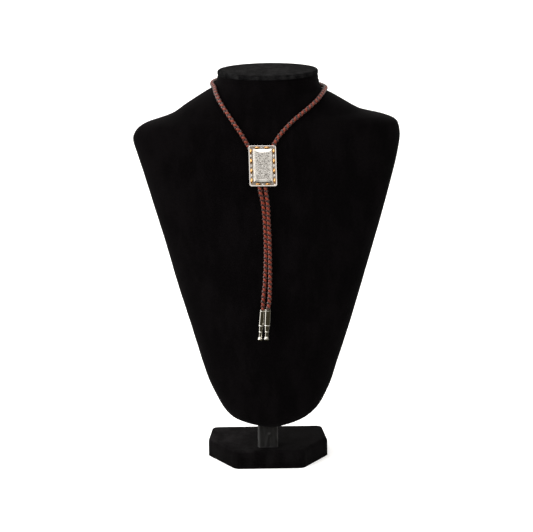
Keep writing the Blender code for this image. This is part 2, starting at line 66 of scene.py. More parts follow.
# The cord's route, from its left end up through the slide, round the neck and back
CORD_ROUTE = (
    (-0.0040, -0.0823, 0.1809),
    (-0.0032, -0.0823, 0.1886),
    (-0.0031, -0.0828, 0.1945),
    (-0.0011, -0.0826, 0.2145),
    (0.0005, -0.0822, 0.2411),
    (0.0007, -0.0826, 0.2677),
    (0.0000, -0.0838, 0.2879),
    (-0.0015, -0.0850, 0.3057),
    (-0.0049, -0.0853, 0.3251),
    (-0.0050, -0.0830, 0.3323),
    (-0.0051, -0.0808, 0.3395),
    (-0.0092, -0.0769, 0.3513),
    (-0.0175, -0.0681, 0.3683),
    (-0.0203, -0.0673, 0.3732),
    (-0.0256, -0.0655, 0.3817),
    (-0.0314, -0.0625, 0.3901),
    (-0.0371, -0.0585, 0.3984),
    (-0.0428, -0.0535, 0.4065),
    (-0.0479, -0.0458, 0.4143),
    (-0.0512, -0.0352, 0.4205),
    (-0.0527, -0.0227, 0.4247),
    (-0.0553, -0.0104, 0.4263),
    (-0.0548, 0.0067, 0.4268),
    (-0.0491, 0.0237, 0.4271),
    (-0.0363, 0.0401, 0.4270),
    (-0.0154, 0.0516, 0.4264),
    (0.0077, 0.0544, 0.4253),
    (0.0303, 0.0495, 0.4239),
    (0.0500, 0.0365, 0.4223),
    (0.0628, 0.0201, 0.4209),
    (0.0690, 0.0037, 0.4199),
    (0.0674, -0.0189, 0.4196),
    (0.0637, -0.0352, 0.4166),
    (0.0591, -0.0450, 0.4126),
    (0.0521, -0.0526, 0.4072),
    (0.0441, -0.0579, 0.4015),
    (0.0335, -0.0624, 0.3935),
    (0.0246, -0.0653, 0.3853),
    (0.0172, -0.0672, 0.3770),
    (0.0113, -0.0688, 0.3680),
    (0.0026, -0.0748, 0.3508),
    (0.0009, -0.0796, 0.3392),
    (0.0010, -0.0818, 0.3320),
    (0.0012, -0.0840, 0.3249),
    (0.0035, -0.0856, 0.3057),
    (0.0042, -0.0852, 0.2881),
    (0.0049, -0.0842, 0.2680),
    (0.0051, -0.0838, 0.2413),
    (0.0047, -0.0850, 0.2149),
    (0.0034, -0.0868, 0.1953),
    (0.0024, -0.0872, 0.1900),
    (0.0019, -0.0872, 0.1823),
)

# Velvet bust: meshed this many times finer than the frame's rings, with a faint unevenness. The pile
# of the velvet stands out from the frame's solids.
BUST_FINER_UP = 5
BUST_FINER_ROUND = 4
BUST_UNEVEN = 0.00025
PILE = 0.0004
NECK_FOLD_DROP = 0.0052
NECK_FOLD_DEPTH = 0.0006
NECK_FOLD_WIDTH = 0.0012

# Round board on the neck. Its foot has places in from the side and up from the underside.
CAP_FOOT = ((0.0, 0.0011), (0.0003, 0.0005), (0.0009, 0.0001), (0.0016, 0.0))
CAP_EDGE_RADIUS = 0.0022
CAP_PILLOW = 0.0003
CAP_LIFT = 0.0015
CAP_SIDES = 160

# Base board: a rectangle with its two front corners cut off, in velvet that doesn't lie quite evenly
# on the left and the right. Its corners at the front and back are measured from the middle, and the
# ends of its cuts from the front edge.
BASE_FRONT_LEFT = 0.0365
BASE_FRONT_RIGHT = 0.0389
BASE_BACK_LEFT = 0.0635
BASE_BACK_RIGHT = 0.0620
BASE_CUT_LEFT = 0.058
BASE_CUT_RIGHT = 0.053
BASE_SIDE_MARGIN = 0.0002
BASE_CORNER_RADIUS = 0.008
BASE_FOOT_BEVEL = 0.0004
BASE_EDGE_RADIUS = 0.0060
BASE_BACK_EDGE_RADIUS = 0.0016
BASE_PILLOW = 0.0006
BASE_LIFT = 0.0008
BASE_OUTLINE_POINTS = 240

# Post: a cloth wrap with folds. A fold runs from its top to its foot, places being shares of the
# post's half width (across) and of its height (up), with its height and width in metres.
POST_CORNER_RADIUS = 0.004
POST_OUTLINE_POINTS = 144
POST_ROWS = 49
POST_WAVINESS = 0.00018
POST_HEM = 0.0003
POST_HEM_WIDTH = 0.0016
POST_MOST_SWELL = 0.0009
POST_INSET = 0.0002
Fold = namedtuple("Fold", "top_across top_up foot_across foot_up height width")
POST_FOLDS = (
    Fold(-0.80, 1.00, -0.74, 0.00, 0.0005, 0.0011),
    Fold(-0.50, 0.95, -0.30, 0.00, -0.0005, 0.0010),
    Fold(0.15, 0.62, -0.22, 0.05, 0.0005, 0.0015),
    Fold(0.20, 0.62, 0.42, 0.06, 0.0005, 0.0013),
    Fold(0.16, 0.50, 0.12, 0.00, -0.0006, 0.0009),
    Fold(0.62, 1.00, 0.70, 0.10, 0.0004, 0.0012),
    Fold(-0.10, 1.00, 0.10, 0.70, -0.0004, 0.0012),
)

# Tips of the cord: turned metal, from the mouth down
TIP_LENGTH = 0.035
TIP_BORE_RADIUS = 0.0026
TIP_BORE_DEPTH = 0.008
TIP_MOUTH_RADIUS = 0.0034
TIP_SHOULDER_RADIUS = 0.00322
TIP_STEP_RADIUS = 0.0028
TIP_WAIST_RADIUS = 0.0023
TIP_NECK_RADIUS = 0.0019
TIP_CROWN_RADIUS = 0.0025
TIP_BUTTON_RADIUS = 0.0030
TIP_BUTTON_LENGTH = 0.0037
TIP_STEP_SHARE = 0.54
TIP_NECK_SHARE = 0.74
TIP_LIP = 0.0004
TIP_RING = 0.00022
TIP_BUTTON_ROUNDING = 0.0012
TIP_SIDES = 64
GAP = 0.0003

# Slide: sizes as seen from the front, depths from its back face
SLIDE_WIDTH = 0.0302
SLIDE_HEIGHT = 0.0445
SLIDE_THICKNESS = 0.0014
SLIDE_CORNER_RADIUS = 0.0022
SLIDE_TURN = radians(-2.6)
RIM_WIDTH = 0.0011
RIM_HEIGHT = 0.0016
ROPE_INSET = 0.0025
END_ROPE_INSET = 0.00225
ROPE_LIFT = 0.0001
LINK_PITCH = 0.0107
GOLD_LINK_SIZE = (0.0061, 0.0026, 0.0018)
SILVER_LINK_SIZE = (0.0045, 0.0025, 0.0010)
END_LINK_SHARE = 0.95
CORNER_LINK_SIZE = (0.0030, 0.0018, 0.0012)
CORNER_LINK_INSET = 0.0020
LINK_LEAN = radians(8)
END_LINK_LEAN = radians(3)
LINK_SINK = 0.0002
LINK_RIDGES = 3.0
LINK_TWIST = 2.4
LINK_RIDGE_DEPTH = 0.20
LINK_SWING = 0.10
PLATE_SOFTNESS = 0.00013
PLATE_LEAST_CORNER = 0.0002
PLATE_FLOOR_INSET = 0.0025
SIDE_LINKS = 4
END_LINKS = 2

# Engraved panel of the slide
PANEL_INSET = 0.0046
END_PANEL_INSET = 0.0038
PANEL_LIFT = 0.0003
PANEL_HEIGHT = 0.0021
PANEL_BEVEL = 0.0016
END_PANEL_BEVEL = 0.0019
PANEL_BEVEL_DROP = 0.0006
PANEL_FOOT_SOFTNESS = 0.0001
SCALLOP_DEPTH = 0.0005
SCALLOP_LENGTH = 0.0085
TOP_BULGE = 0.0021
FOOT_BULGE = 0.0012
TOP_DROP = 0.0011
FOOT_RISE = 0.0004
PANEL_CELLS = (112, 208)
BEAD_RADIUS = 0.00034
BEAD_PITCH = 0.00105
BEAD_HEIGHT = 0.00022
GROOVE_WIDTH = 0.00036
GROOVE_DEPTH = 0.00016
MOAT_DEPTH = 0.00008
PUNCH_RADIUS = 0.00055
PUNCH_COUNT = 190
PUNCH_STEEPNESS = 1.6


class Value:
    """A socket of a finish. Arithmetic on it adds Math nodes."""

    def __init__(self, finish, socket):
        self.finish = finish
        self.socket = socket

    def math(self, operation, *terms):
        return self.finish.node("ShaderNodeMath", {"operation": operation}, dict(enumerate(terms)))

    def __add__(self, other):
        return self.math("ADD", self, other)

    def __radd__(self, other):
        return self.math("ADD", other, self)

    def __sub__(self, other):
        return self.math("SUBTRACT", self, other)

    def __rsub__(self, other):
        return self.math("SUBTRACT", other, self)

    def __mul__(self, other):
        return self.math("MULTIPLY", self, other)

    def __rmul__(self, other):
        return self.math("MULTIPLY", other, self)

    def least(self, other):
        return self.math("MINIMUM", self, other)

    def most(self, other):
        return self.math("MAXIMUM", self, other)

    def between(self, low, high):
        """0 below the low value, 1 above the high one and smooth in between."""
        sockets = {"Value": self, "From Min": low, "From Max": high}
        return self.finish.node("ShaderNodeMapRange", {"interpolation_type": "SMOOTHSTEP"}, sockets)


class Nodes:
    """Adds nodes to a tree, one call at a time."""

    def __init__(self, tree):
        self.tree = tree

    def node(self, kind, settings=None, sockets=None, output=0):
        """Add a node with its settings, then the values or links of its sockets."""
        made = self.tree.nodes.new(kind)
        for name, value in (settings or {}).items():
            setattr(made, name, value)
        for name, value in (sockets or {}).items():
            self.join(made.inputs[name], value)
        return Value(self, made.outputs[output])

    def join(self, socket, value):
        if isinstance(value, Value):
            self.tree.links.new(value.socket, socket)
        else:
            socket.default_value = value

    def axes(self, vector):
        """The three numbers of a vector."""
        return [self.node("ShaderNodeSeparateXYZ", None, {0: vector}, output=axis) for axis in range(3)]

    def mix(self, factor, first, second):
        settings = {"data_type": "RGBA"}
        return self.node("ShaderNodeMix", settings, {0: factor, 6: first, 7: second}, output=2)


class Finish(Nodes):
    """A material on the Principled shader."""

    def __init__(self, name, **constants):
        self.material = bpy.data.materials.new(name)
        self.material.use_nodes = True
        super().__init__(self.material.node_tree)
        self.shader = self.tree.nodes["Principled BSDF"]
        for name, value in constants.items():
            name = name.replace("_", " ").title().replace("Ior", "IOR")
            self.shader.inputs[name].default_value = value

    def set(self, name, value):
        self.join(self.shader.inputs[name], value)

    def place(self):
        """The place on the piece, in its own metres."""
        return self.node("ShaderNodeTexCoord", output="Object")

    def attribute(self, name):
        return self.node("ShaderNodeAttribute", {"attribute_name": name}, output="Fac")

    def stretched(self, vector, scale):
        return self.node("ShaderNodeVectorMath", {"operation": "MULTIPLY"}, {0: vector, 1: scale})

    def noise(self, vector, scale, detail=2.0, roughness=0.5):
        sockets = {"Vector": vector, "Scale": scale, "Detail": detail, "Roughness": roughness}
        return self.node("ShaderNodeTexNoise", None, sockets)

    def bump(self, height, distance, strength=1.0):
        sockets = {"Height": height, "Distance": distance, "Strength": strength}
        self.set("Normal", self.node("ShaderNodeBump", None, sockets))


def colour(red, green, blue):
    return (red, green, blue, 1.0)


def black_velvet(name, sheen, patches, dark, light, top=None):
    """Short pile, brushed this way and that, that catches light where it is seen edge on. Where a
    top's height is given, the left part of that top is painted lighter, as lit from the left, and its right
    part and the sides stay darker: painted light and shade."""
    finish = Finish(
        name, roughness=1.0, specular_ior_level=0.02,
        sheen_weight=sheen, sheen_roughness=0.36, sheen_tint=colour(0.80, 0.78, 0.80),
    )
    place = finish.place()
    brushed = finish.noise(finish.stretched(place, (1.0, 0.5, 0.45)), patches, detail=3.0, roughness=0.6)
    tufts = finish.noise(place, 620.0, detail=2.0, roughness=0.7)
    nap_and_painted_light = (brushed.between(0.38, 0.68) * 0.6 + tufts.between(0.35, 0.72) * 0.4).least(1.0)
    # Painted light: the left part of the given top is painted lighter, as lit from the left; its right part
    # and the sides keep 0.35 of the nap's colour, as painted shade.
    if top is not None:
        x, y, z = finish.axes(place)
        nap_and_painted_light = nap_and_painted_light * (0.35 + z.between(top - 0.002, top) * (0.65 - x.between(-0.030, 0.015) * 0.65))
    finish.set("Base Color", finish.mix(nap_and_painted_light, dark, light))
    finish.bump(tufts * 0.7 + finish.noise(place, 2400.0, detail=1.0) * 0.3, 0.0004, 0.5)
    return finish.material


def post_cloth():
    """Black satin-like wrap with a fine weave."""
    finish = Finish("post_wrap", specular_ior_level=0.40, sheen_weight=0.08)
    place = finish.place()
    x, y, z = finish.axes(place)
    weave = (x * 9000.0).math("SINE", x * 9000.0) * (z * 9000.0).math("SINE", z * 9000.0)
    worn = finish.noise(place, 260.0, detail=4.0, roughness=0.6)
    dark, light = colour(0.0014, 0.0013, 0.0014), colour(0.0052, 0.0050, 0.0052)
    finish.set("Base Color", finish.mix(worn, dark, light))
    finish.set("Roughness", 0.34 + worn * 0.25)
    finish.bump(weave * 0.2 + finish.noise(place, 900.0, detail=2.0) * 0.8, 0.00025, 0.5)
    return finish.material


def braided_leather():
    """Waxed reddish brown leather strands, duller at their edges. Their edges and undersides are darkened,
    partly as dark-dyed edges and partly as painted shade in the gaps between the strands.
    """
    finish = Finish("braided_leather", specular_ior_level=0.22, coat_roughness=0.12)
    place = finish.place()
    edge = finish.attribute("edge")
    tone = finish.attribute("tone")
    mottle = finish.noise(place, 420.0, detail=4.0, roughness=0.62)
    grain = finish.noise(place, 3600.0, detail=2.0, roughness=0.6)
    dyed = finish.mix(
        (mottle.between(0.36, 0.66) * 0.35 + tone * 0.65).least(1.0),
        colour(0.020, 0.0150, 0.0140),
        colour(0.150, 0.0200, 0.0080),
    )
    # Painted shade: edges and undersides turn near black, partly dark-dyed edges and partly painted shade in
    # the gaps between strands.
    finish.set("Base Color", finish.mix(edge.between(0.35, 0.95), dyed, colour(0.007, 0.0035, 0.0030)))
    finish.set("Roughness", 0.24 + edge * 0.35 + (mottle - 0.5) * 0.2)
    finish.set("Coat Weight", (1.0 - tone * 0.65 - edge * 0.5).most(0.0))
    finish.bump(grain * 0.5 + mottle * 0.5, 0.00018, 0.6)
    return finish.material


def metal(name, bright, worn, roughness, tarnish=None):
    """Polished metal with a little wear, and where asked a dark tarnish in what lies low."""
    finish = Finish(name, metallic=1.0)
    place = finish.place()
    patches = finish.noise(place, 380.0, detail=4.0, roughness=0.6)
    lines = finish.noise(finish.stretched(place, (1.0, 1.0, 9.0)), 900.0, detail=2.0)
    skin = finish.mix(patches.between(0.35, 0.75), bright, worn)
    rough = roughness * (0.61 + patches * 0.6 + lines * 0.3)
    if tarnish is not None:
        low = finish.attribute("low")
        skin = finish.mix(low, skin, tarnish)
        rough = rough + low * 0.35
        finish.set("Metallic", 1.0 - low * 0.45)
    finish.set("Base Color", skin)
    finish.set("Roughness", rough)
    finish.bump(lines * 0.6 + patches * 0.4, 0.00006, 0.25)
    return finish.material


def stage_finish(name, tint, roughness):
    """Pale paper that glows a little, so that the shadows on it stay pale."""
    white = colour(1.0, 1.0, 1.0)
    finish = Finish(name, roughness=roughness, emission_color=white, emission_strength=0.15)
    paper = finish.noise(finish.place(), 3.0, detail=2.0)
    finish.set("Base Color", finish.mix(paper, colour(*tint), colour(*(0.985 * part for part in tint))))
    return finish.material


def piece(name, points, faces, material, matrix=None, sharp=40, **attributes):
    """A mesh piece, with attributes that its finish reads."""
    mesh = bpy.data.meshes.new(name)
    mesh.from_pydata(np.asarray(points).reshape(-1, 3).tolist(), [], faces)
    for key, values in attributes.items():
        layer = mesh.attributes.new(key, "FLOAT", "POINT")
        layer.data.foreach_set("value", np.asarray(values, np.float32).ravel())
    work = bmesh.new()
    work.from_mesh(mesh)
    bmesh.ops.recalc_face_normals(work, faces=work.faces)
    work.to_mesh(mesh)
    work.free()
    mesh.shade_smooth()
    mesh.set_sharp_from_angle(angle=radians(sharp))
    mesh.materials.append(material)
    item = bpy.data.objects.new(name, mesh)
    bpy.context.scene.collection.objects.link(item)
    if matrix is not None:
        item.matrix_world = matrix
    return item


def skin(rows, sides, first=0):
    """Faces of a skin through rows of points, as many on each, closed round and at its ends."""
    ids = first + np.arange(rows * sides).reshape(rows, sides)
    ahead = np.roll(ids, -1, axis=1)
    quads = np.stack([ids[:-1], ahead[:-1], ahead[1:], ids[1:]], axis=-1)
    return quads.reshape(-1, 4).tolist() + [ids[0, ::-1].tolist(), ids[-1].tolist()]


def finer(rows, steps, cyclic):
    """More rows between the rows of an array, on smooth curves through them."""
    if cyclic:
        before, after, beyond = (np.roll(rows, shift, axis=0) for shift in (1, -1, -2))
        here = rows
    else:
        padded = np.concatenate([rows[:1], rows, rows[-1:]])
        before, here, after, beyond = (padded[shift:len(padded) - 3 + shift] for shift in range(4))
    made = []
    for step in range(steps):
        t = step / steps
        made.append(
            before * (-t + 2 * t**2 - t**3) / 2
            + here * (2 - 5 * t**2 + 3 * t**3) / 2
            + after * (t + 4 * t**2 - 3 * t**3) / 2
            + beyond * (t**3 - t**2) / 2
        )
    result = np.stack(made, axis=1).reshape(-1, *rows.shape[1:])
    return result if cyclic else np.concatenate([result, rows[-1:]])


def rounded_outline(corners, radius, steps=8):
    """Points of a convex outline with its corners rounded off."""
    outline = []
    for index, corner in enumerate(corners):
        corner = Vector(corner)
        before = (Vector(corners[index - 1]) - corner).normalized()
        after = (Vector(corners[(index + 1) % len(corners)]) - corner).normalized()
        half_angle = before.angle(after) / 2
        centre = corner + (before + after).normalized() * radius / sin(half_angle)
        reach = radius * cos(half_angle) / sin(half_angle)
        start = (corner + before * reach - centre).normalized()
        end = (corner + after * reach - centre).normalized()
        outline += [centre + start.slerp(end, step / steps) * radius for step in range(steps + 1)]
    return np.array(outline)


def evenly_round(outline, count):
    """As many points as asked, the same distance apart round a closed outline."""
    closed = np.concatenate([outline, outline[:1]])
    travelled = np.concatenate([[0.0], np.cumsum(np.linalg.norm(np.diff(closed, axis=0), axis=1))])
    places = travelled[-1] * np.arange(count) / count
    return np.stack([np.interp(places, travelled, column) for column in closed.T], axis=-1)


def rectangle(width, height):
    """Corners of a rectangle, anticlockwise."""
    x, z = width / 2, height / 2
    return [(-x, -z), (x, -z), (x, z), (-x, z)]


def outward(outline):
    """Directions square to an anticlockwise outline, away from it."""
    run = np.roll(outline, -1, axis=0) - np.roll(outline, 1, axis=0)
    run /= np.linalg.norm(run, axis=1, keepdims=True)
    return np.stack([run[:, 1], -run[:, 0]], axis=-1)


def make_camera():
    data = bpy.data.cameras.new("camera")
    data.lens = CAMERA_LENS
    data.sensor_width = 36.0
    camera = bpy.data.objects.new("camera", data)
    bpy.context.scene.collection.objects.link(camera)
    tilt = Matrix.Rotation(pi / 2 - CAMERA_PITCH, 4, "X") @ Matrix.Rotation(-CAMERA_ROLL, 4, "Z")
    camera.matrix_world = Matrix.Translation(CAMERA_PLACE) @ tilt
    bpy.context.scene.camera = camera


def smooth_route(points, steps=16):
    """A smooth curve through points that lie at uneven distances."""
    gaps = np.linalg.norm(np.diff(points, axis=0), axis=1)[:, None]
    runs = np.diff(points, axis=0) / gaps
    inner = (runs[:-1] * gaps[1:] + runs[1:] * gaps[:-1]) / (gaps[:-1] + gaps[1:])
    slopes = np.concatenate([runs[:1], inner, runs[-1:]])
    rows = []
    for step in range(steps):
        t = step / steps
        rows.append(
            points[:-1] * (2 * t**3 - 3 * t**2 + 1)
            + points[1:] * (3 * t**2 - 2 * t**3)
            + slopes[:-1] * gaps * (t**3 - 2 * t**2 + t)
            + slopes[1:] * gaps * (t**3 - t**2)
        )
    return np.concatenate([np.stack(rows, axis=1).reshape(-1, 3), points[-1:]])


class CordLine:
    """The cord's centreline, evenly stepped, with two directions across it that never twist."""

    def __init__(self, route):
        travelled = np.concatenate([[0.0], np.cumsum(np.linalg.norm(np.diff(route, axis=0), axis=1))])
        self.length = travelled[-1]
        self.distances = np.linspace(0.0, self.length, ceil(self.length / BRAID_STEP) + 1)
        self.points = np.stack([np.interp(self.distances, travelled, part) for part in route.T], axis=-1)
        ahead = np.gradient(self.points, axis=0)
        ahead /= np.linalg.norm(ahead, axis=1, keepdims=True)
        side = np.array([1.0, 0.0, 0.0])
        sides = []
        for direction in ahead:
            side = side - direction * side.dot(direction)
            side = side / np.linalg.norm(side)
            sides.append(side)
        self.sides = np.array(sides)
        self.ups = np.cross(ahead, self.sides)

    def at(self, places, radius, angle):
        """Points at distances along the line, at a radius and an angle round it."""
        places = np.clip(places, 0.0, self.length)
        point, side, up = (
            np.stack([np.interp(places, self.distances, part) for part in values.T], axis=-1)
            for values in (self.points, self.sides, self.ups)
        )
        return point + radius[..., None] * (np.cos(angle)[..., None] * side + np.sin(angle)[..., None] * up)


def strand_section():
    """Places across a strand (-1 to 1) and heights in it (-1 to 1), round its closed outline."""
    top = [(across, (1 - abs(across) ** 2.1) ** 0.6) for across in np.linspace(-1.0, 1.0, 8)]
    bottom = [(across, -0.8) for across in (0.7, 0.0, -0.7)]
    return np.array(top + bottom)


def make_cord(material):
    """The whole cord in one mesh: two strands each way round, over and under, and a core."""
    line = CordLine(smooth_route(np.array(CORD_ROUTE)))
    rows = len(line.distances)
    section = strand_section()
    across, height = section[:, 0], section[:, 1]
    lean = atan2(2 * pi * STRAND_RADIUS, BRAID_PITCH)
    turn = 2 * pi * line.distances / BRAID_PITCH
    lift = np.cos(2 * turn) * (1.25 - 0.25 * np.cos(2 * turn) ** 2)
    points, faces, edge, tone = [], [], [], []
    for hand in (1, -1):
        for phase in (0.0, pi):
            places = line.distances[:, None] - hand * across * STRAND_WIDTH / 2 * sin(lean)
            angle = (hand * turn + phase)[:, None] + across * STRAND_WIDTH / 2 * cos(lean) / STRAND_RADIUS
            middle = STRAND_RADIUS + hand * lift[:, None] * STRAND_LIFT
            radius = middle + height * STRAND_THICKNESS / 2
            faces += skin(rows, len(section), first=sum(len(part) for part in points))
            points.append(line.at(places, radius, angle).reshape(-1, 3))
            # Edge value for the finish: 1 on a strand's underside, rising towards its sides; the finish
            # darkens there, partly as painted shade.
            edge.append(np.tile(np.where(height < 0, 1.0, np.abs(across)), rows))
            tone.append(np.full(rows * len(section), (1 - hand) / 2))
    core_angle = np.arange(8) * pi / 4
    core_rows = line.distances[::4]
    faces += skin(len(core_rows), len(core_angle), first=sum(len(part) for part in points))
    places = core_rows[:, None] + 0 * core_angle
    angle = 0 * core_rows[:, None] + core_angle
    points.append(line.at(places, np.full(places.shape, CORE_RADIUS), angle).reshape(-1, 3))
    edge.append(np.ones(places.size))
    tone.append(np.zeros(places.size))
    braid = piece(
        "braided_cord", np.concatenate(points), faces, material,
        sharp=70, edge=np.concatenate(edge), tone=np.concatenate(tone),
    )
    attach(braid, "root")
    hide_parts("bolo_cord")
    return braid, line


def frame_rings(node):
    """The rings that a lofted solid of the frame is made of, from the lowest up, each in order round."""
    points = np.array([vertex.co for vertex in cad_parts[node].data.vertices])
    points = np.unique(np.round(points, 6), axis=0)
    rings = []
    for level in np.unique(np.round(points[:, 2], 5)):
        ring = points[np.abs(points[:, 2] - level) < 1e-5]
        middle = (ring[:, 1].min() + ring[:, 1].max()) / 2
        centre = ring[ring[:, 1].argmin(), 0]
        half_depth, half_width = ring[:, 1].max() - middle, ring[:, 0].max() - centre
        angle = np.arctan2((ring[:, 1] - middle) / half_depth, (ring[:, 0] - centre) / half_width)
        rings.append(ring[np.argsort((angle + 0.001) % (2 * pi))])
    return np.array(rings)


def uneven(points):
    """A faint waviness from place to place, between -1 and 1."""
    x, y, z = points[..., 0], points[..., 1], points[..., 2]
    wide = np.sin(52 * x + 31 * z + 0.6) * np.sin(47 * z - 23 * x + 1.9) * np.cos(38 * y + 0.4)
    narrow = np.sin(131 * x - 96 * z + 2.2) * np.sin(117 * z + 88 * y + 0.8)
    return 0.65 * wide + 0.35 * narrow


def make_bust(material):
    """The velvet bust, on smooth curves through the frame's rings, with a fold under the neck's board."""
    rings = frame_rings("bust_body")
    fine = finer(rings, BUST_FINER_UP, cyclic=False)
    fine = finer(fine.transpose(1, 0, 2), BUST_FINER_ROUND, cyclic=True).transpose(1, 0, 2)
    away = fine - fine.mean(axis=1, keepdims=True)
    away[..., 2] = 0.0
    away /= np.linalg.norm(away, axis=2, keepdims=True)
    height = fine[..., 2]
    top = height.max()
    fold = -NECK_FOLD_DEPTH * np.exp(-(((height - top + NECK_FOLD_DROP) / NECK_FOLD_WIDTH) ** 2))
    fine = fine + away * (uneven(fine) * BUST_UNEVEN + PILE - BUST_UNEVEN / 2 + fold)[..., None]
    bust = piece("velvet_bust", fine, skin(*fine.shape[:2]), material)
    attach(bust, "root")
    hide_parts("bust_body")


def turned(name, profile, sides, material, matrix, sharp=40):
    """A profile of radius and height, from the top of the axis to its foot, turned round the Z axis."""
    angle = 2 * pi * np.arange(sides) / sides
    rows = np.array([(max(radius, 1e-5), height) for radius, height in profile])
    x, y = (rows[:, :1] * part for part in (np.cos(angle), np.sin(angle)))
    points = np.stack([x, y, np.repeat(rows[:, 1:], sides, axis=1)], axis=-1)
    return piece(name, points, skin(len(rows), sides), material, matrix, sharp)


def quarter_round(radius, height, edge, steps=8):
    """Points of an edge rounded from a flat top out to a side, from the top down."""
    angles = [pi / 2 * step / steps for step in range(steps + 1)]
    return [(radius - edge + edge * sin(angle), height - edge + edge * cos(angle)) for angle in angles]


def make_neck_board(material):
    """The round board on the neck, its velvet pulled over the edge."""
    low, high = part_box("neck_cap")
    centre, radius = (low + high) / 2, (high.x - low.x) / 2 + PILE
    thickness = high.z - low.z + CAP_LIFT
    shares = (0.0, 0.2, 0.4, 0.6, 0.75, 0.88)
    top = [(radius * share, thickness - CAP_PILLOW * share**4) for share in shares]
    edge = quarter_round(radius, thickness - CAP_PILLOW, CAP_EDGE_RADIUS)
    foot = [(radius - inset, height) for inset, height in CAP_FOOT]
    place = Matrix.Translation((centre.x, centre.y, low.z))
    profile = [*top, *edge, *foot, (0.0, 0.0)]
    board = turned("velvet_neck_board", profile, CAP_SIDES, material, place, sharp=60)
    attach(board, "root")
    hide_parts("neck_cap")


def make_base(material):
    """The base board in its velvet, softly rounded at every edge."""
    low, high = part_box("base_board")
    width, thickness = high.x - low.x, high.z + BASE_LIFT
    # The box is a little narrower than the corners, which are rounded off
    side = width / 2 + BASE_SIDE_MARGIN
    corners = [
        (BASE_FRONT_RIGHT, low.y), (side, low.y + BASE_CUT_RIGHT), (BASE_BACK_RIGHT, high.y),
        (-BASE_BACK_LEFT, high.y), (-side, low.y + BASE_CUT_LEFT), (-BASE_FRONT_LEFT, low.y),
    ]
    outline = evenly_round(rounded_outline(corners, BASE_CORNER_RADIUS), BASE_OUTLINE_POINTS)
    normal = outward(outline)
    outline = outline + normal * PILE
    fore = np.clip(0.5 - 0.7 * normal[:, 1], 0.0, 1.0)
    edge = BASE_BACK_EDGE_RADIUS + (BASE_EDGE_RADIUS - BASE_BACK_EDGE_RADIUS) * fore
    profile = [(BASE_FOOT_BEVEL + 0 * edge, 0 * edge), (0 * edge, BASE_FOOT_BEVEL + 0 * edge)]
    profile += [(edge * (1 - cos(a)), thickness - edge * (1 - sin(a))) for a in np.linspace(0.0, pi / 2, 12)]
    rows = []
    for inset, height in profile:
        rows.append(np.column_stack([outline - normal * inset[:, None], height]))
    rim = rows[-1]
    for share in (0.85, 0.6, 0.3, 0.02):
        inner = rim * (share, share, 1.0) + (0.0, 0.0, BASE_PILLOW * (1 - share**4))
        rows.append(inner)
    points = np.array(rows)
    base = piece("velvet_base", points, skin(*points.shape[:2]), material, sharp=60)
    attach(base, "root")
    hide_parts("base_board")


def make_post(material):
    """The wrapped post, with the folds of its cloth on the front and faint ones all round."""
    low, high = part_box("post")
    centre, size = (low + high) / 2, high - low
    corners = rectangle(size.x, size.y)
    outline = evenly_round(rounded_outline(corners, POST_CORNER_RADIUS), POST_OUTLINE_POINTS)
    normal = outward(outline)
    up = np.linspace(0.0, 1.0, POST_ROWS)[:, None]
    x, y = np.tile(outline[:, 0], (len(up), 1)), np.tile(outline[:, 1], (len(up), 1))
    front = np.clip(-normal[:, 1], 0.0, 1.0)
    swell = POST_WAVINESS * np.sin(9.0 * np.arctan2(y, x) + 7.0 * up) * np.sin(pi * up)
    for fold in POST_FOLDS:
        run = np.array([fold.foot_across - fold.top_across, fold.foot_up - fold.top_up])
        run = run * (size.x / 2, size.z)
        start = np.array([fold.top_across * size.x / 2, fold.top_up * size.z])
        off = np.stack([x - start[0], up * size.z - start[1] + 0 * x], axis=-1)
        share = np.clip((off @ run) / (run @ run), 0.0, 1.0)
        distance = np.linalg.norm(off - share[..., None] * run, axis=-1)
        swell = swell + front * fold.height * np.exp(-((distance / fold.width) ** 2))
    hem = POST_HEM * np.exp(-((up * size.z / POST_HEM_WIDTH) ** 2))
    swell = np.clip(swell, -POST_MOST_SWELL, POST_MOST_SWELL) + hem - POST_INSET
    points = np.stack([
        centre.x + x + swell * normal[:, 0],
        centre.y + y + swell * normal[:, 1],
        low.z + up * size.z + 0 * x,
    ], axis=-1)
    post = piece("wrapped_post", points, skin(*points.shape[:2]), material)
    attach(post, "root")
    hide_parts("post")


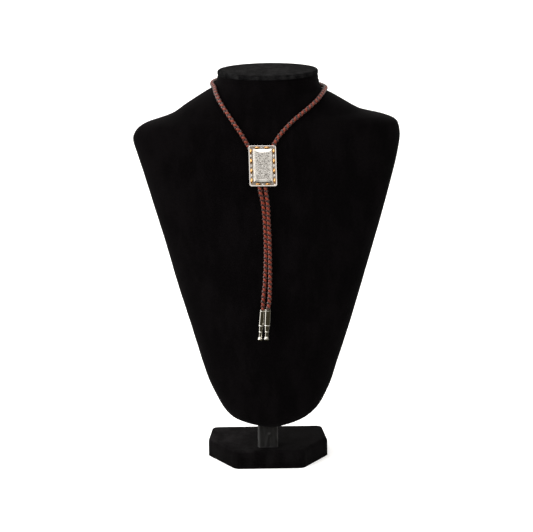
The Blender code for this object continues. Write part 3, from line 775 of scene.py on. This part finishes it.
def tip_profile():
    """From the floor of the bore out over the rounded lip, down past the step to the button's foot."""
    step, button = -TIP_LENGTH * TIP_STEP_SHARE, -(TIP_LENGTH - TIP_BUTTON_LENGTH)
    lip = TIP_LIP
    outer = [
        (0.0, -TIP_BORE_DEPTH), (TIP_BORE_RADIUS, -TIP_BORE_DEPTH), (TIP_BORE_RADIUS, -lip),
        (TIP_BORE_RADIUS + 0.3 * lip, -0.3 * lip), (TIP_BORE_RADIUS + lip, 0.0),
        (TIP_MOUTH_RADIUS - 0.5 * lip, 0.0), (TIP_MOUTH_RADIUS - 0.1 * lip, -0.3 * lip),
        (TIP_MOUTH_RADIUS, -lip), (TIP_MOUTH_RADIUS - TIP_RING, -3.4 * lip),
        (TIP_MOUTH_RADIUS - TIP_RING, -4.2 * lip), (TIP_MOUTH_RADIUS - 0.2 * TIP_RING, -5.4 * lip),
        (TIP_MOUTH_RADIUS - 0.2 * TIP_RING, -6.0 * lip), (TIP_SHOULDER_RADIUS, step + 3.0 * lip),
        (TIP_SHOULDER_RADIUS, step + 2.4 * lip), (TIP_SHOULDER_RADIUS + TIP_RING, step + 1.2 * lip),
        (TIP_SHOULDER_RADIUS + 0.5 * TIP_RING, step + 0.2 * lip), (TIP_STEP_RADIUS, step - lip),
        (TIP_STEP_RADIUS - 0.4 * TIP_RING, step - 3 * lip),
    ]
    neck = -TIP_LENGTH * TIP_NECK_SHARE
    waist = []
    for share in np.linspace(0.15, 1.0, 7):
        height = (step - 3 * lip) * (1 - share) + (neck + 2 * lip) * share
        radius = TIP_STEP_RADIUS + (TIP_WAIST_RADIUS - TIP_STEP_RADIUS) * (share * share * (3 - 2 * share))
        waist.append((radius, height))
    collar = [
        (TIP_WAIST_RADIUS + TIP_RING, neck + lip), (TIP_WAIST_RADIUS + TIP_RING, neck + 0.2 * lip),
        (TIP_NECK_RADIUS + 0.5 * lip, neck - lip), (TIP_NECK_RADIUS, neck - 3 * lip),
        (TIP_NECK_RADIUS, button + lip), (TIP_NECK_RADIUS + 0.3 * lip, button),
    ]
    rounding, flare = TIP_BUTTON_ROUNDING, TIP_BUTTON_RADIUS - TIP_CROWN_RADIUS
    belly = []
    for share in np.linspace(0.0, 1.0, 6):
        height = (button - 0.5 * lip) * (1 - share) + (rounding - TIP_LENGTH) * share
        belly.append((TIP_CROWN_RADIUS + flare * share, height))
    rim = TIP_BUTTON_RADIUS - rounding
    for angle in np.linspace(radians(20), radians(90), 6):
        belly.append((rim + rounding * cos(angle), rounding * (1 - sin(angle)) - TIP_LENGTH))
    return outer + waist + collar + belly + [(rim * 0.4, -TIP_LENGTH), (0.0, -TIP_LENGTH)]


def make_tip(name, node, end, before, material):
    """A tip whose mouth lies one bore's depth back along the cord from the cord's end."""
    end = Vector(end)
    direction = (end - Vector(before)).normalized()
    mouth = end - direction * (TIP_BORE_DEPTH - GAP)
    place = Matrix.Translation(mouth) @ direction.to_track_quat("-Z", "Y").to_matrix().to_4x4()
    tip = turned(name, tip_profile(), TIP_SIDES, material, place, sharp=38)
    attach(tip, "root")
    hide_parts(node)
    return tip


def slide_place():
    """The middle of the slide's back face, found on the frame's plate, with +Z up the slide."""
    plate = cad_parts["slide_plate"].data
    backs = [polygon for polygon in plate.polygons if polygon.normal.y > 0.8]
    normal = max(backs, key=lambda polygon: polygon.area).normal
    points = np.array([vertex.co for vertex in plate.vertices])
    depths = points @ np.array(normal)
    face = points[depths > depths.max() - 1e-5]
    middle = Vector((face.min(axis=0) + face.max(axis=0)) / 2)
    facing = Matrix.Rotation(atan2(-normal.x, normal.y), 4, "Z") @ Matrix.Rotation(asin(normal.z), 4, "X")
    return Matrix.Translation(middle) @ facing @ Matrix.Rotation(-SLIDE_TURN, 4, "Y")


def link_shape(size, share=1.0, rows=22, sides=20):
    """A leaf-shaped link with three twisted ridges: its rows of points, and how low each lies."""
    length, width, height = size[0], size[1] * share, size[2]
    along = np.linspace(-1.0, 1.0, rows)[:, None]
    angle = np.linspace(0.0, pi, sides - 4)[None, :]
    taper = np.maximum(1 - np.abs(along) ** 2.2, 0.004) ** 0.75
    ridges = 0.5 + 0.5 * np.cos(LINK_RIDGES * (2 * angle - pi) + LINK_TWIST * along)
    swell = 1 - LINK_RIDGE_DEPTH * (1 - ridges) * taper
    across = -np.cos(angle) * width / 2 * taper * (0.97 + 0.03 * swell)
    rise = np.sin(angle) ** 0.8 * height * taper**0.8 * swell
    shift = LINK_SWING * width * np.sin(pi * along)
    top = np.stack([across + shift, -rise, along * length / 2 + 0 * across], axis=-1)
    flat = np.linspace(1.0, -1.0, 6)[None, 1:-1]
    under_x, under_z = flat * width / 2 * taper + shift, along * length / 2 + 0 * flat
    under = np.stack([under_x, 0 * flat * along, under_z], axis=-1)
    low = np.concatenate([(1 - ridges) * 0.7 + 0.5 * (np.sin(angle) < 0.3), np.ones((rows, 4))], axis=1)
    return np.concatenate([top, under], axis=1), np.clip(low, 0.0, 1.0)


def row_places(count):
    """Places of evenly pitched links about the middle."""
    return [(index - (count - 1) / 2) * LINK_PITCH for index in range(count)]


def border_links(side_count, end_count):
    """Width as a share, place and angle of each link along the two sides and ends of the border."""
    x, z = SLIDE_WIDTH / 2 - ROPE_INSET, SLIDE_HEIGHT / 2 - END_ROPE_INSET - ROPE_LIFT
    side_places, end_places = row_places(side_count), row_places(end_count)
    sides = [(1.0, side * x, place, -LINK_LEAN) for side in (-1, 1) for place in side_places]
    angle = pi / 2 - END_LINK_LEAN
    ends = [(END_LINK_SHARE, place, end * z + ROPE_LIFT, angle) for end in (-1, 1) for place in end_places]
    return sides + ends


def turned_link(points, x, z, angle, depth):
    """A link's points turned in the plane of the slide and put in their place."""
    turn = np.array(Matrix.Rotation(angle, 3, "Y"))
    return points @ turn.T + (x, -depth, z)


def make_plate(place, material):
    """The slide's plate: rounded rim, dark sunk border and the silver links that lie in it."""
    top, floor = SLIDE_THICKNESS + RIM_HEIGHT, SLIDE_THICKNESS
    soft = PLATE_SOFTNESS
    profile = [
        (PLATE_FLOOR_INSET, 0.0), (soft, 0.0), (0.0, soft), (0.0, top - soft),
        (0.3 * soft, top - 0.3 * soft), (soft, top), (RIM_WIDTH - soft, top),
        (RIM_WIDTH - 0.3 * soft, top - 0.3 * soft), (RIM_WIDTH, top - soft),
        (RIM_WIDTH, floor + soft), (RIM_WIDTH + soft, floor), (PLATE_FLOOR_INSET, floor),
    ]
    outline = rounded_outline(rectangle(SLIDE_WIDTH, SLIDE_HEIGHT), SLIDE_CORNER_RADIUS, steps=10)
    normal = outward(outline)
    rows, low = [], []
    for inset, depth in profile:
        corner = np.minimum(inset, SLIDE_CORNER_RADIUS - PLATE_LEAST_CORNER)
        ring = outline - normal * corner
        scale = 1 - (inset - corner) / (SLIDE_WIDTH / 2)
        rows.append(np.column_stack([ring[:, 0] * scale, np.full(len(ring), -depth), ring[:, 1] * scale]))
        low.append(np.full(len(ring), 1.0 if depth < top - soft and inset >= RIM_WIDTH else 0.0))
    points, faces, lows = [np.concatenate(rows)], skin(len(rows), len(outline)), [np.concatenate(low)]
    links = [(SILVER_LINK_SIZE, *link) for link in border_links(SIDE_LINKS - 1, END_LINKS - 1)]
    x, z = SLIDE_WIDTH / 2 - CORNER_LINK_INSET, SLIDE_HEIGHT / 2 - CORNER_LINK_INSET
    links += [(CORNER_LINK_SIZE, 1.0, s * x, e * z, -s * e * pi / 4) for s in (-1, 1) for e in (-1, 1)]
    for size, share, link_x, link_z, angle in links:
        shape, shape_low = link_shape(size, share)
        faces += skin(*shape.shape[:2], first=sum(len(part) for part in points))
        points.append(turned_link(shape, link_x, link_z, angle, floor - LINK_SINK).reshape(-1, 3))
        lows.append(shape_low.ravel())
    points, lows = np.concatenate(points), np.concatenate(lows)
    plate = piece("slide_frame", points, faces, material, place, low=lows)
    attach(plate, "root")
    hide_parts("slide_plate")


def make_gold_links(place, material):
    for number, (share, x, z, angle) in enumerate(border_links(SIDE_LINKS, END_LINKS), start=1):
        shape, low = link_shape(GOLD_LINK_SIZE, share)
        points = turned_link(shape, x, z, angle, SLIDE_THICKNESS + GAP)
        faces = skin(*shape.shape[:2])
        link = piece(f"gold_leaf_{number:02d}", points, faces, material, place, low=low * 0.4)
        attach(link, "root")
        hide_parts(f"gold_link_{number:02d}")


# Engraved scrolls: places are shares of half the panel, the radius is in metres, the turns are of
# the spiral, the start is its outer end's angle in turns, and the hand is the way it winds. Short
# curved cuts fan out from each, FAN_TURN being their angle and FAN_LENGTH how far they reach out.
SCROLL_CLOSING = 0.86
FAN_CUTS = 9
FAN_TURN = 0.55
FAN_LENGTH = 0.0011
Scroll = namedtuple("Scroll", "x z radius turns start hand")
SCROLLS = (
    Scroll(-0.45, 0.80, 0.0026, 1.6, 0.10, 1),
    Scroll(0.42, 0.74, 0.0029, 1.7, 0.40, -1),
    Scroll(-0.30, 0.42, 0.0031, 1.8, 0.85, -1),
    Scroll(0.50, 0.30, 0.0025, 1.5, 0.60, 1),
    Scroll(-0.55, 0.06, 0.0024, 1.5, 0.25, 1),
    Scroll(0.12, -0.02, 0.0030, 1.8, 0.05, -1),
    Scroll(-0.38, -0.34, 0.0029, 1.7, 0.70, 1),
    Scroll(0.48, -0.42, 0.0028, 1.7, 0.30, -1),
    Scroll(-0.42, -0.78, 0.0026, 1.6, 0.50, -1),
    Scroll(0.36, -0.82, 0.0024, 1.5, 0.90, 1),
)


def scroll_lines(half_width, half_height):
    """The engraved lines: each scroll's spiral and the short curved cuts that fan out from it."""
    lines = []
    for scroll in SCROLLS:
        t = np.linspace(0.0, 1.0, 48)
        angle = 2 * pi * (scroll.start + scroll.hand * scroll.turns * t)
        radius = scroll.radius * (1 - SCROLL_CLOSING * t)
        x = scroll.x * half_width + radius * np.cos(angle)
        z = scroll.z * half_height + radius * np.sin(angle)
        lines.append(np.column_stack([x, z]))
        for step in range(FAN_CUTS):
            share = step / FAN_CUTS
            root = 2 * pi * (scroll.start + scroll.hand * share)
            s = np.linspace(0.0, 1.0, 10)
            angle = root + scroll.hand * FAN_TURN * s
            radius = scroll.radius * (1.10 - 0.2 * share) + FAN_LENGTH * s
            x = scroll.x * half_width + radius * np.cos(angle)
            z = scroll.z * half_height + radius * np.sin(angle)
            lines.append(np.column_stack([x, z]))
    return lines


def wave(share, length, depth):
    """How far a scalloped edge is drawn in along its length, nothing at its corners."""
    waves = max(round(length / SCALLOP_LENGTH), 1)
    return depth * (1 - np.cos(2 * pi * waves * share)) / 2


def nearest(spots, x, z):
    """Distance from each place to the nearest of many spots, worked out spot by spot."""
    best = np.full(x.shape, 1.0)
    for spot_x, spot_z in spots:
        best = np.minimum(best, (x - spot_x) ** 2 + (z - spot_z) ** 2)
    return np.sqrt(best)


def border_spots(half_width, half_height, inset, pitch):
    """Spots evenly pitched round a rectangle that is drawn in by an inset."""
    outline = np.array(rectangle(2 * (half_width - inset), 2 * (half_height - inset)))
    count = round(4 * (half_width + half_height - 2 * inset) / pitch)
    return evenly_round(outline, count)


def make_panel(place, material):
    """The raised panel: scalloped bevel round a field of engraved scrolls with a beaded edge."""
    width, height = SLIDE_WIDTH - 2 * PANEL_INSET, SLIDE_HEIGHT - 2 * (END_PANEL_INSET + ROPE_LIFT)
    inner_width, inner_height = width - 2 * PANEL_BEVEL, height - 2 * END_PANEL_BEVEL
    columns, rows = PANEL_CELLS
    u, v = np.meshgrid(np.linspace(0, 1, columns + 1), np.linspace(0, 1, rows + 1))
    side = wave(v, height, SCALLOP_DEPTH)
    x = (u - 0.5) * inner_width + side * (1 - 2 * u)
    z = (v - 0.5) * inner_height
    z = z + 4 * u * (1 - u) * (FOOT_BULGE * (1 - v) ** 3 - TOP_BULGE * v**3)
    edge_gap = np.minimum(np.minimum(u, 1 - u) * inner_width, np.minimum(v, 1 - v) * inner_height)

    spots = np.concatenate(scroll_lines(inner_width / 2, inner_height / 2))
    cut = np.clip(1 - nearest(spots, x, z) / GROOVE_WIDTH, 0.0, 1.0)
    cut *= np.clip((edge_gap - 2.4 * BEAD_RADIUS) / BEAD_RADIUS, 0.0, 1.0)
    rng = np.random.default_rng(7)
    punches = rng.uniform(-0.5, 0.5, (PUNCH_COUNT, 2)) * (inner_width, inner_height)
    punched = PUNCH_STEEPNESS - PUNCH_STEEPNESS * nearest(punches, x, z) / PUNCH_RADIUS
    punched = np.clip(punched, 0.0, 1.0) * (edge_gap > 3.0 * BEAD_RADIUS)
    bead_inset = 1.5 * BEAD_RADIUS + SCALLOP_DEPTH / 2
    beads = border_spots(inner_width / 2, inner_height / 2, bead_inset, BEAD_PITCH)
    bead = np.sqrt(np.clip(1 - (nearest(beads, x, z) / BEAD_RADIUS) ** 2, 0.0, 1.0))
    moat = (edge_gap > 0.25 * BEAD_RADIUS) * (edge_gap < 3.0 * BEAD_RADIUS)
    relief = BEAD_HEIGHT * bead - GROOVE_DEPTH * np.maximum(cut, 0.5 * punched) - MOAT_DEPTH * moat
    relief[[0, -1], :] = 0.0
    relief[:, [0, -1]] = 0.0
    low = np.clip(cut + punched + 0.25 * moat * (1 - bead), 0.0, 1.0)

    top = SLIDE_THICKNESS + GAP + PANEL_HEIGHT
    grid = np.stack([x, -(top + relief), z], axis=-1).reshape(-1, 3)
    ids = np.arange(grid.shape[0]).reshape(rows + 1, columns + 1)
    quads = np.stack([ids[:-1, :-1], ids[:-1, 1:], ids[1:, 1:], ids[1:, :-1]], axis=-1)
    faces = quads.reshape(-1, 4).tolist()
    loop = np.concatenate([ids[0, :-1], ids[:-1, -1], ids[-1, :0:-1], ids[:0:-1, 0]])
    share_u, share_v = u.ravel()[loop], v.ravel()[loop]
    outer = np.column_stack([(share_u - 0.5) * width, np.zeros(len(loop)), (share_v - 0.5) * height])
    bow = 4 * share_u * (1 - share_u)
    drop = PANEL_BEVEL_DROP + bow * (TOP_DROP * (share_v > 0.999) - FOOT_RISE * (share_v < 0.001))
    crease = grid[loop] * (1.0, 0.0, 1.0)
    bands = [(0.0, SLIDE_THICKNESS + GAP + 0 * drop), (0.0, top - drop - PANEL_FOOT_SOFTNESS)]
    bands += [(share, top - (1 - share) * drop) for share in (0.06, 0.35, 0.65, 0.93)]
    parts, lows = [grid], [low.ravel()]
    ring_ids = []
    for share, depth in bands:
        ring_ids.append(sum(len(part) for part in parts) + np.arange(len(loop)))
        parts.append(outer * (1 - share) + crease * share - depth[:, None] * (0.0, 1.0, 0.0))
        lows.append(np.where(depth < top - drop - 2 * PANEL_FOOT_SOFTNESS, 0.9, 0.0))
    ring_ids.append(loop)
    for lower, upper in zip(ring_ids, ring_ids[1:]):
        band = np.stack([lower, np.roll(lower, -1), np.roll(upper, -1), upper], axis=-1)
        faces += band.tolist()
    faces.append(ring_ids[0][::-1].tolist())
    raised = place @ Matrix.Translation((0.0, 0.0, PANEL_LIFT))
    points, lows = np.concatenate(parts), np.concatenate(lows)
    panel = piece("engraved_panel", points, faces, material, raised, 30, low=lows)
    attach(panel, "root")
    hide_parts("centre_panel")


def carry_clip(material):
    """The hidden clip keeps the frame's solid, in the slide's silver."""
    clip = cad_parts["slide_clip"]
    clip.data.materials.clear()
    clip.data.materials.append(material)


def make_floor(material):
    """A wide round floor, which the metals don't mirror."""
    radius, sides = 30.0, 96
    angle = 2 * pi * np.arange(sides) / sides
    points = np.column_stack([radius * np.cos(angle), radius * np.sin(angle), np.zeros(sides)])
    mesh = bpy.data.meshes.new("floor")
    mesh.from_pydata(points.tolist(), [], [list(range(sides))])
    mesh.materials.append(material)
    floor = bpy.data.objects.new("floor", mesh)
    floor.visible_glossy = False
    bpy.context.scene.collection.objects.link(floor)


def softbox(name, place, aim, size, watts):
    """A rectangular area light, turned towards the point that it lights and not mirrored."""
    data = bpy.data.lights.new(name, "AREA")
    data.shape = "RECTANGLE"
    data.size, data.size_y = size
    data.energy = watts
    light = bpy.data.objects.new(name, data)
    light.visible_glossy = False
    light.location = place
    light.rotation_euler = (Vector(aim) - Vector(place)).to_track_quat("-Z", "Y").to_euler()
    bpy.context.scene.collection.objects.link(light)


def make_studio():
    """Soft lights and the room that the metals mirror: dark low in front, light above and behind,
    and at the left a white panel, a brighter lamp and a wall."""
    softbox("key_left", (-1.7, -1.3, 1.0), (0.0, -0.05, 0.3), (0.7, 1.4), 34)
    softbox("fill_right", (1.9, -1.2, 0.9), (0.0, -0.05, 0.3), (0.3, 1.2), 9)
    overhead = bpy.data.lights.new("overhead", "SUN")
    overhead.energy = 1.7
    overhead.angle = radians(70)
    sun = bpy.data.objects.new("overhead", overhead)
    sun.rotation_euler = (radians(8), radians(-6), 0.0)
    bpy.context.scene.collection.objects.link(sun)
    world = bpy.data.worlds.new("studio")
    world.use_nodes = True
    bpy.context.scene.world = world
    room = Nodes(world.node_tree)
    x, y, z = room.axes(room.node("ShaderNodeTexCoord", output="Generated"))
    above = z.between(-0.04, 0.34) * 0.18
    left_panel = (0.0 - x).between(0.06, 0.24) * z.between(0.10, 0.30) * 0.28
    lamp = (0.0 - x).between(0.62, 0.78) * z.between(0.12, 0.26) * (1.0 - z.between(0.50, 0.60))
    wall = (0.0 - x).between(0.84, 0.93) * y.between(-0.25, 0.0) * 0.30
    behind = y.between(0.10, 0.45) * 0.13
    light = above.most(left_panel).most(lamp).most(wall).most(behind)
    seen = room.mix(light, colour(0.045, 0.039, 0.024), colour(4.8, 4.72, 4.60))
    camera_ray = room.node("ShaderNodeLightPath", output="Is Camera Ray")
    back = world.node_tree.nodes["Background"]
    room.join(back.inputs["Color"], room.mix(camera_ray, seen, colour(1.0, 1.0, 1.0)))
    bpy.context.scene.view_settings.view_transform = "Standard"


def main():
    make_camera()
    cord, line = make_cord(braided_leather())
    chrome = metal("tip_metal", colour(0.86, 0.84, 0.78), colour(0.70, 0.67, 0.60), 0.05)
    tips = [
        make_tip("metal_tip_left", "tip_left", CORD_ROUTE[0], CORD_ROUTE[1], chrome),
        make_tip("metal_tip_right", "tip_right", CORD_ROUTE[-1], CORD_ROUTE[-2], chrome),
    ]

    dark, light = colour(0.0008, 0.0006, 0.0007), colour(0.0019, 0.0015, 0.0017)
    make_bust(black_velvet("bust_velvet", 0.017, 46.0, dark, light))
    # The neck board's velvet is painted lighter than the bust's: painted sheen, standing in for the light
    # its pile catches where its top is seen edge on.
    dark, light = colour(0.0010, 0.0010, 0.0011), colour(0.0100, 0.0098, 0.0100)
    make_neck_board(black_velvet("neck_velvet_painted_sheen", 0.003, 150.0, dark, light))
    # The base's velvet is painted lighter than the bust's: painted sheen on its top, lightest on the left of
    # the top as lit from the left.
    dark, light = colour(0.0010, 0.0008, 0.0009), colour(0.0092, 0.0084, 0.0088)
    make_base(black_velvet("base_velvet_painted_light", 0.004, 60.0, dark, light, top=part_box("base_board")[1].z))
    make_post(post_cloth())

    place = slide_place()
    silver = metal(
        "silver", colour(0.98, 0.93, 0.89), colour(0.86, 0.81, 0.77), 0.16,
        tarnish=colour(0.300, 0.260, 0.220),
    )
    gold = metal(
        "gold", colour(0.95, 0.53, 0.19), colour(0.84, 0.42, 0.13), 0.22,
        tarnish=colour(0.10, 0.035, 0.012),
    )
    engraved = metal(
        "engraved_silver", colour(0.86, 0.83, 0.79), colour(0.66, 0.62, 0.57), 0.24,
        tarnish=colour(0.055, 0.045, 0.036),
    )
    make_plate(place, silver)
    make_gold_links(place, gold)
    make_panel(place, engraved)
    carry_clip(silver)

    make_floor(stage_finish("floor_paper", (0.97, 0.97, 0.97), 0.9))
    make_studio()


main()
